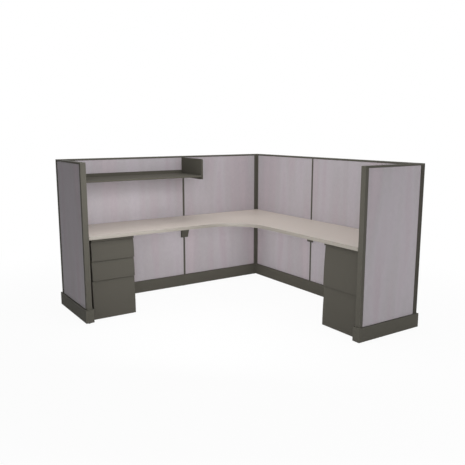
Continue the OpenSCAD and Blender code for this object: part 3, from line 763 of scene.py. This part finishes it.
screwSetup = {
    "sides": 16,
    "headRadius": 0.0045, "headHeight": 0.0025,
    "head": [(1, 0), (1, 0.42), (0.955, 0.66), (0.83, 0.87), (0.6, 1)],     # shares of these two
    "shankRadius": 0.0019, "shankLength": 0.0175,
    "tipRadius": 0.0006,
    "taperFrom": 0.86,      # share of the shank's length
    "recessWidth": 0.0011, "recessReach": 0.0052, "recessDepth": 0.0016,
}


def screwRecipe():
    s = screwSetup
    r = Recipe("panScrew", Head=s["headRadius"], Rise=s["headHeight"], Shank=s["shankRadius"],
               Length=s["shankLength"])
    head, rise, shank, length = [r.given(key) for key in ("Head", "Rise", "Shank", "Length")]
    screw = r.turned(s["sides"], [
        (s["tipRadius"], 0 - length), (shank, 0 - length * s["taperFrom"]), (shank, 0),
        *profile(head, rise, s["head"])])
    cut = r.node("GeometryNodeMeshBoolean", {"operation": "DIFFERENCE", "solver": "EXACT"}, {
        "Mesh 1": screw})
    reach, width, depth = s["recessReach"], s["recessWidth"], 2 * s["recessDepth"]
    for size in ((reach, width, depth), (width, reach, depth)):
        bar = r.raised(r.node("GeometryNodeMeshCube", {}, {"Size": size}), rise)
        r.tree.links.new(bar.socket, cut.socket.node.inputs["Mesh 2"])
    return r.ends(r.onPoints(cut), finishes["zinc"])


def makeScrews():
    boxes = islandBoxes("surface_screws")
    places = [((low.x + high.x) / 2, (low.y + high.y) / 2, low.z + screwSetup["headHeight"])
              for low, high in boxes]
    mesh = pointMesh("surfaceScrews", places, [(0, 0, -1)] * len(places))
    ridesAs(cooked("surfaceScrews", mesh, screwRecipe()), "surface_screws")
    print("screws made:", len(places))


makeScrews()

glideSetup = {
    # node: what the recipe is given
    "sizes": {
        "panel_glides": {
            "Foot": 0.010, "Height": 0.008, "Stem": 0.005, "Rise": 0.049,
            "Nut": 0.0078, "NutHeight": 0.0045, "Turns": 8.0},
        "pedestal_glides": {
            "Foot": 0.014, "Height": 0.007, "Stem": 0.004, "Rise": 0.0096,
            "Nut": 0.0065, "NutHeight": 0.002, "Turns": 3.0},
    },
    # shares of the foot's and the nut's radius and height, from the bottom up
    "pad": [(0.86, 0), (0.96, 0.06), (1, 0.18), (1, 0.5), (0.95, 0.68), (0.82, 0.86), (0.6, 1)],
    "nut": [(1, 0), (1, 0.8), (0.93, 1)],
    "core": 0.86, "coreTip": 0.7, "thread": 0.9, "ridge": 0.09,     # shares of the stem's radius
    "sunk": 0.9,            # share of the foot's height, where the stem starts in it
    "threadFrom": 0.6,      # share of the nut's height, where the thread starts in it
    "tipFrom": 0.98,        # share of the stem's height
    "threadPitch": 0.00125,
    "padSides": 32, "coreSides": 20, "nutSides": 6, "ridgeSides": 4, "threadSteps": 18,
}


def glideRecipe():
    g = glideSetup
    r = Recipe("levellingGlide", **g["sizes"]["panel_glides"])
    foot, height, stem, rise, nut, nutHeight, turns = [
        r.given(key) for key in ("Foot", "Height", "Stem", "Rise", "Nut", "NutHeight", "Turns")]
    pad = r.turned(g["padSides"], profile(foot, height, g["pad"]))
    pad = r.painted(pad, finishes["glide_nylon"])
    core = r.turned(g["coreSides"], [
        (stem * g["core"], height * g["sunk"]), (stem * g["core"], height + rise * g["tipFrom"]),
        (stem * g["coreTip"], height + rise)])
    hexagon = r.turned(g["nutSides"], profile(nut, nutHeight, g["nut"], height))
    spiral = r.node("GeometryNodeCurveSpiral", {}, {
        "Resolution": g["threadSteps"], "Rotations": turns, "Height": turns * g["threadPitch"],
        "Start Radius": stem * g["thread"], "End Radius": stem * g["thread"]})
    ridge = r.node("GeometryNodeCurvePrimitiveCircle", {"mode": "RADIUS"}, {
        "Resolution": g["ridgeSides"], "Radius": stem * g["ridge"]})
    thread = r.node("GeometryNodeCurveToMesh", {}, {
        "Curve": spiral, "Profile Curve": ridge, "Fill Caps": True})
    thread = r.raised(thread, height + nutHeight * g["threadFrom"])
    metal = r.painted(r.joined(core, hexagon, thread), finishes["zinc"])
    return r.ends(r.onPoints(r.joined(pad, metal)))


def makeGlides():
    recipe = glideRecipe()
    for node, sizes in glideSetup["sizes"].items():
        name = camelName(node)
        places = [((low.x + high.x) / 2, (low.y + high.y) / 2, low.z)
                  for low, high in islandBoxes(node)]
        mesh = pointMesh(name, places, [(0, 0, 1)] * len(places))
        ridesAs(cooked(name, mesh, recipe, **sizes), node)
        print(name, "made:", len(places))


makeGlides()

bandSetup = {
    "wall": 1.0665,         # from the middle of the room to each wall's face
    "depth": 0.610,         # front edge to wall
    "thickness": 0.003, "height": 0.030, "top": 0.740,
    "rounding": 0.0012, "roundingSteps": 3,
    "hollowRadius": 0.390, "hollowSteps": 48,
    "cornerLength": 1.219, "seam": 0.0005, "endGap": 0.003,
}


def bandRecipe():
    b = bandSetup
    r = Recipe("edgeBand", Thickness=b["thickness"], Height=b["height"], Rounding=b["rounding"])
    path = r.node("GeometryNodeMeshToCurve", {}, {"Mesh": r.given("Geometry")})
    path = r.node("GeometryNodeSetCurveNormal", {"mode": "Z_UP"}, {"Curve": path})
    outline = r.node("GeometryNodeCurvePrimitiveQuadrilateral", {}, {
        "Width": r.given("Thickness"), "Height": r.given("Height")})
    outline = r.node("GeometryNodeFilletCurve", {"mode": "POLY"}, {
        "Curve": outline, "Radius": r.given("Rounding"), "Count": b["roundingSteps"]})
    return r.ends(r.node("GeometryNodeCurveToMesh", {}, {
        "Curve": path, "Profile Curve": outline, "Fill Caps": True}), finishes["edge_band"])


def makeBands():
    b = bandSetup
    middle = b["depth"] - b["thickness"] / 2
    centre, radius = b["depth"] + b["hollowRadius"], b["hollowRadius"] + b["thickness"] / 2
    hollow = [(centre - radius * math.sin(t), centre - radius * math.cos(t))
              for t in [math.pi / 2 * i / b["hollowSteps"] for i in range(b["hollowSteps"] + 1)]]
    corner = [(b["cornerLength"], middle), *hollow, (middle, b["cornerLength"])]
    start, end = b["cornerLength"] + b["seam"], 2 * b["wall"] - b["endGap"]
    runs = [corner, [(start, middle), (end, middle)], [(middle, start), (middle, end)]]
    bm = bmesh.new()
    recipe = bandRecipe()
    for run in runs:        # each point is given by how far it is from the two walls
        places = [(b["wall"] - u, b["wall"] - v, b["top"] - b["height"] / 2) for u, v in run]
        points = pointMesh("edgeBandRun", places, [(0, 0, 1)] * len(places), joined=True)
        part = cooked("edgeBandRun", points, recipe)
        bm.from_mesh(part.data)
        bpy.data.objects.remove(part)
    mesh = bpy.data.meshes.new("edgeBands")
    bmesh.ops.recalc_face_normals(bm, faces=bm.faces)
    bm.to_mesh(mesh)
    bm.free()
    mesh.materials.append(finishes["edge_band"])
    mesh.set_sharp_from_angle(angle=math.radians(roundingSetup["sharp"]))
    ridesAs(addObject("edgeBands", mesh), "edge_bands")
    print("edge bands made:", len(runs))


makeBands()

rivetSetup = {
    "sides": 14,
    "radius": 0.0032, "height": 0.0012,
    "dome": [(1, 0), (0.96, 0.4), (0.78, 0.78), (0.4, 1), (0.25, 0.8)],     # shares of these two
    "tail": 0.0028, "tailRadius": 0.55,     # a length, and a share of the radius
    "along": (0.05, 0.30, 0.65, 0.92),      # shares of the slide member's length
    "wall": 0.0012,     # the tray's side, between the slide member and the rivet's head
}


def rivetRecipe():
    s = rivetSetup
    r = Recipe("domeRivet", Radius=s["radius"], Rise=s["height"], Tail=s["tail"])
    radius, rise, tail = r.given("Radius"), r.given("Rise"), r.given("Tail")
    neck = radius * s["tailRadius"]
    dome = r.turned(s["sides"], [(neck, 0 - tail), (neck, 0), *profile(radius, rise, s["dome"])])
    return r.ends(r.onPoints(dome), finishes["zinc"])


def makeRivets():
    # their heads lie inside a tray, and hold the slide members on its two sides
    recipe, made = rivetRecipe(), 0
    for tray in [name for name in cadNodes if name.endswith("_tray")]:
        trayLow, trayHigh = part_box(tray)
        middle = (Vector(trayLow) + Vector(trayHigh)) / 2
        places, facing = [], []
        for low, high in islandBoxes(tray):
            size = high - low
            across = 0 if size.x < size.y else 1
            if size[across] > roundingSetup["slideMember"]:
                continue
            inward = 1 if low[across] < middle[across] else -1
            place = (low + high) / 2
            place[across] = (high if inward > 0 else low)[across] + inward * rivetSetup["wall"]
            for share in rivetSetup["along"]:
                place[1 - across] = low[1 - across] + share * size[1 - across]
                places.append(place.copy())
                facing.append([inward * (axis == across) for axis in range(3)])
        name = camelName(tray.replace("_tray", "_rivets"))
        piece = cooked(name, pointMesh(name, places, facing), recipe)
        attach(piece, bodyOf(tray))
        made += len(places)
    print("rivets made:", made)


makeRivets()


# Floor and sky: white where they are seen, and dimmer as the light that they give the object
stageSetup = {
    "ambient": 0.29,
    "floorColour": (0.72, 0.72, 0.72),
    "floorRoughness": 0.9,
    "floorGlow": 0.95,      # share of plain white that the camera sees on the floor
    "floorFade": (2.0, 3.8),    # metres from the middle, over which that share grows to all of it
    "floorSize": 60,
}
white = (1, 1, 1, 1)


def seenRays(tree):
    # 1 for what the camera, a gloss or a glass shows, and 0 for light on the object
    path = tree.node("ShaderNodeLightPath", output="Is Camera Ray")
    seen = path.maths("MAXIMUM", path, path.also("Is Glossy Ray"))
    return path.maths("MAXIMUM", seen, path.also("Is Transmission Ray"))


def makeFloor():
    s = stageSetup
    half = s["floorSize"] / 2
    mesh = bpy.data.meshes.new("floor")
    corners = [(-half, -half, 0), (half, -half, 0), (half, half, 0), (-half, half, 0)]
    mesh.from_pydata(corners, [], [(0, 1, 2, 3)])
    floor = addObject("floor", mesh)
    f = Finish("floorPale", {
        "Roughness": s["floorRoughness"], "Base Color": colour(s["floorColour"])})
    near, far = s["floorFade"]
    away = f.node("ShaderNodeVectorMath", {"operation": "LENGTH"}, {0: f.place()}, output="Value")
    glow = f.node("ShaderNodeMapRange", {"interpolation_type": "SMOOTHSTEP"}, {
        "Value": away, "From Min": near, "From Max": far, "To Min": s["floorGlow"]})
    shining = f.node("ShaderNodeEmission", {}, {"Color": white, "Strength": 1.0})
    both = f.node("ShaderNodeMixShader", {}, {
        0: seenRays(f) * glow, 1: Link(f, f.shader.outputs[0]), 2: shining})
    f.join(both, f.tree.nodes["Material Output"].inputs["Surface"])
    mesh.materials.append(f.material)


def makeSky():
    world = bpy.data.worlds.new("studio")
    scene.world = world
    world.use_nodes = True
    w = Tree(world.node_tree)
    strength = stageSetup["ambient"] + seenRays(w) * (1 - stageSetup["ambient"])
    sky = w.node("ShaderNodeBackground", {}, {"Color": white, "Strength": strength})
    w.join(sky, w.tree.nodes["World Output"].inputs["Surface"])


makeFloor()
makeSky()
print("floor and sky ready")
